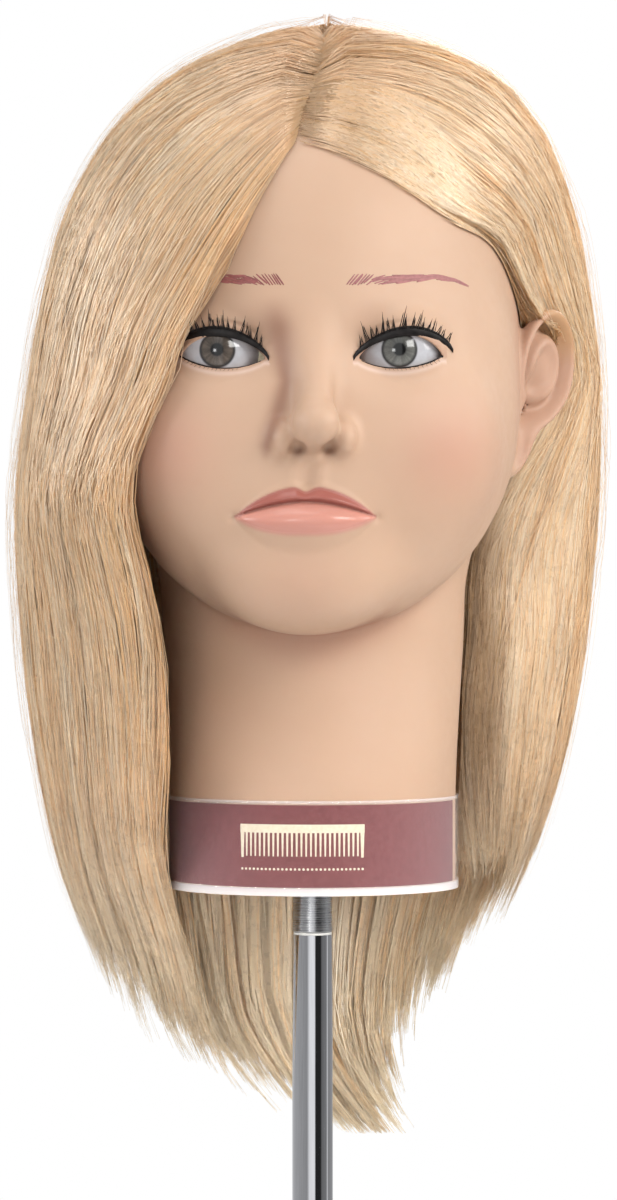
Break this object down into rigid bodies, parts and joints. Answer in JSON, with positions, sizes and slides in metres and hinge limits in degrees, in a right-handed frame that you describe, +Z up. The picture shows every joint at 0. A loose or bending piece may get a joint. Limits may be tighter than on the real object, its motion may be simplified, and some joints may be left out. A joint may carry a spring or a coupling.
{
  "type": "mannequin training head",
  "caption": "Hairdresser's training head with long rooted hair, on a swivelling plug and a tilting pole with a screw clamp for a table edge.",
  "frame": {"origin": "on the pole's axis, in the face of the rubber seat that rests on the table top", "axes": "+Z up along the pole, the face looks along -Y, +X is the head's own left"},
  "size_m": [0.2209, 0.2115, 0.7405],
  "materials": {
    "frame_paint": "black powder coat with a fine texture",
    "seat_rubber": "matt black rubber",
    "bright_steel": "bright chrome plate",
    "satin_steel": "satin turned steel",
    "black_plastic": "moulded black plastic",
    "friction_fibre": "pressed fibre",
    "nylon": "natural nylon",
    "plug_metal": "satin turned aluminium",
    "bush_brass": "plain brass",
    "skin": "matt soft vinyl with painted cheeks and lips",
    "foam": "closed-cell polyurethane foam",
    "socket_plastic": "moulded hard plastic",
    "eye": "glossy acrylic with a grey iris",
    "lash": "black fibre on a strip",
    "hair": "long straight blond fibre",
    "label_card": "printed card",
    "clear_film": "clear flexible plastic"
  },
  "bodies": {
    "clamp": {"clamp_frame": "frame_paint", "seat_pad": "seat_rubber", "tilt_fork": "frame_paint", "fork_screw": "satin_steel", "hinge_bolt": "bright_steel", "friction_disc_left": "friction_fibre", "friction_disc_right": "friction_fibre", "hinge_washer": "bright_steel"},
    "lever": {"tilt_lever": "black_plastic", "lever_insert": "satin_steel"},
    "stem": {"hinge_knuckle": "satin_steel", "pole_tube": "bright_steel", "roll_pin": "satin_steel", "swivel_pin": "satin_steel", "retaining_clip": "satin_steel", "glide_ring": "nylon"},
    "swivel": {"swivel_plug": "plug_metal", "plug_bush": "bush_brass", "plug_cap": "black_plastic"},
    "head": {"head_skin": "skin", "foam_core": "foam", "neck_socket": "socket_plastic", "eye_left": "eye", "eye_right": "eye", "lash_strip_left": "lash", "lash_strip_right": "lash", "hair_crown": "hair", "hair_left_side": "hair", "hair_right_side": "hair", "hair_back_left": "hair", "hair_back_right": "hair", "neck_label": "label_card", "clear_sleeve": "clear_film"},
    "pad": {"pressure_plate": "satin_steel", "plate_rubber": "seat_rubber"},
    "screw": {"clamp_screw": "bright_steel"},
    "bar": {"tommy_bar": "bright_steel", "bar_knob_left": "black_plastic", "bar_knob_right": "black_plastic"}
  },
  "joints": [
    {"name": "tilt", "type": "hinge", "parent": "clamp", "child": "stem", "pos_m": [0, 0, 0.036], "axis": [1, 0, 0], "range_deg": [-90, 50]},
    {"name": "lever_turn", "type": "hinge", "parent": "clamp", "child": "lever", "pos_m": [0.0236, 0, 0.036], "axis": [1, 0, 0], "range_deg": [-40, 40]},
    {"name": "head_turn", "type": "hinge", "parent": "stem", "child": "swivel", "pos_m": [0, 0, 0.3], "axis": [0, 0, 1], "continuous": true},
    {"name": "head_lift", "type": "slide", "parent": "swivel", "child": "head", "axis": [0, 0, 1], "range_m": [0, 0.09]},
    {"name": "screw_turn", "type": "hinge", "parent": "pad", "child": "screw", "pos_m": [0, 0, -0.08], "axis": [0, 0, 1], "range_deg": [-1800, 5400]},
    {"name": "pad_travel", "type": "slide", "parent": "clamp", "child": "pad", "axis": [0, 0, 1], "range_m": [-0.0101, 0.0301]},
    {"name": "bar_slide", "type": "slide", "parent": "screw", "child": "bar", "axis": [1, 0, 0], "range_m": [-0.037, 0.037]}
  ],
  "couplings": [
    {"joint": "pad_travel", "follows": "screw_turn", "m_per_rad": 0.00031831}
  ]
}
